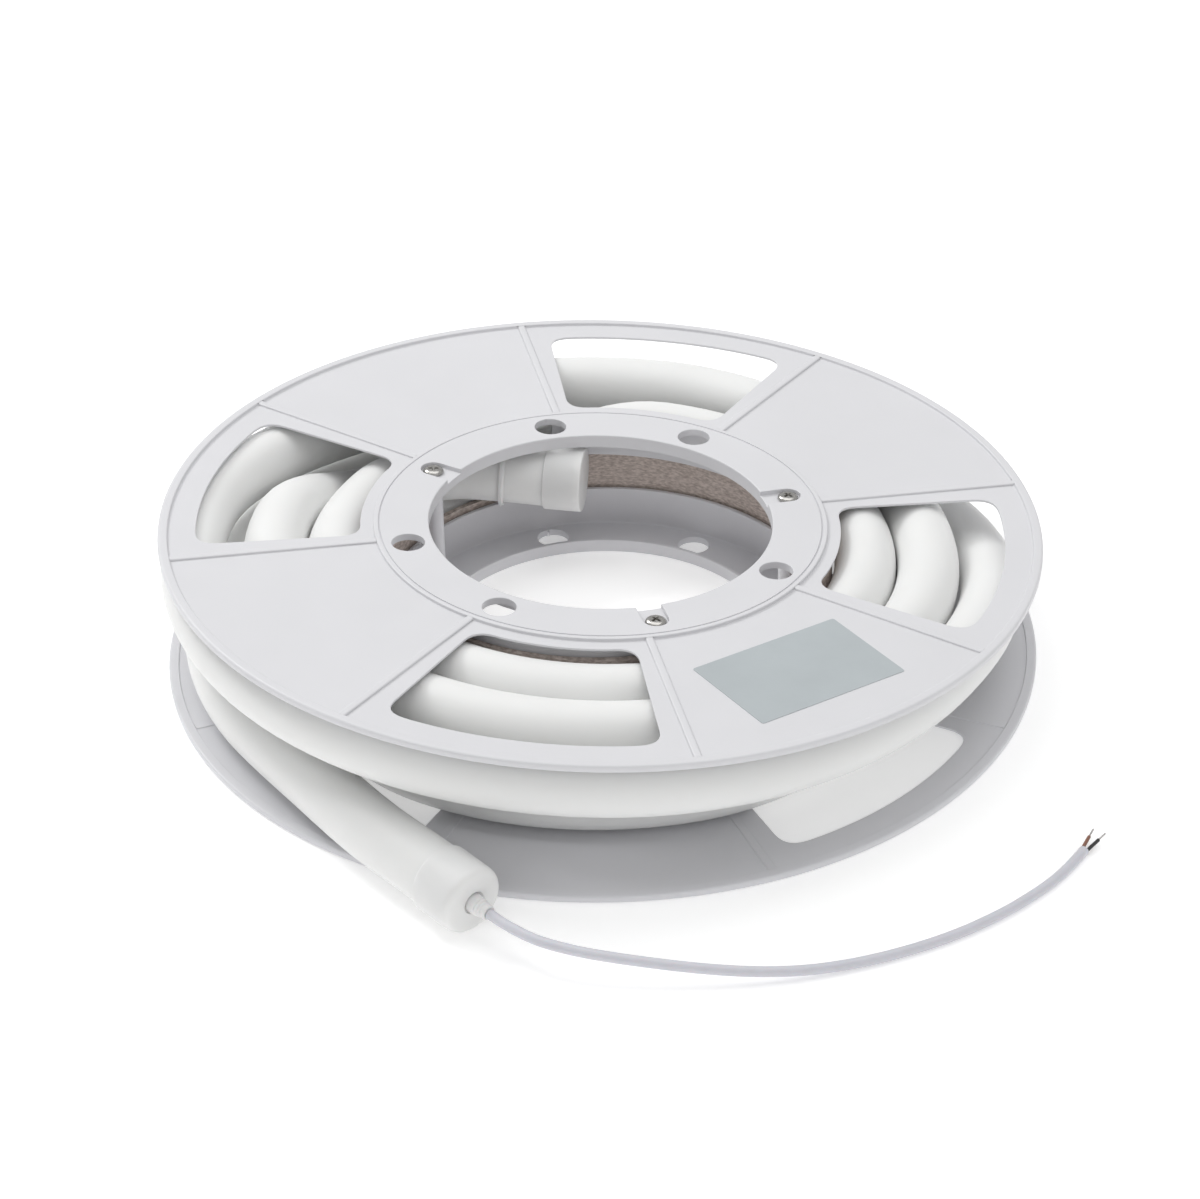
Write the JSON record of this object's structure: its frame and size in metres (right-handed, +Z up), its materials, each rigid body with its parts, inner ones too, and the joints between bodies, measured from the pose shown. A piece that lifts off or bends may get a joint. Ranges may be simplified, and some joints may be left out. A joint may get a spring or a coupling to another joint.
{
  "type": "reel of round LED neon flex",
  "caption": "Round milky white light-diffusing flex wound in two layers on a flat white plastic reel, its capped end and short lead lying out in front.",
  "frame": {"origin": "floor level, at the centre of the plan box of the reel with the flex's capped tail, without the lead", "axes": "+Z up along the lower reel half's axis, +Y from the tail's side of the reel to its far side, +X to the right seen from the tail's side"},
  "size_m": [0.4122, 0.4555, 0.073],
  "materials": {
    "reel_lower": "satin moulded",
    "reel_upper": "satin moulded",
    "core_board": "raw fibre board",
    "flex": "matt milky silicone",
    "cap_inner": "satin silicone",
    "cap_outer": "satin silicone",
    "sleeve": "satin",
    "lead": "satin jacket",
    "wire_brown": "insulation",
    "wire_black": "insulation",
    "screw_steel": "zinc plated",
    "tie": "nylon",
    "label": "matt film"
  },
  "bodies": {
    "root": {"lower_reel_half": "reel_lower", "upper_reel_half": "reel_upper", "core_ring": "core_board", "neon_flex": "flex", "inner_end_cap": "cap_inner", "outer_end_cap": "cap_outer", "lead_sleeve": "sleeve", "power_lead": "lead", "wire_brown": "wire_brown", "wire_black": "wire_black", "screw_1": "screw_steel", "screw_2": "screw_steel", "screw_3": "screw_steel", "cable_tie": "tie", "label": "label"}
  },
  "joints": []
}
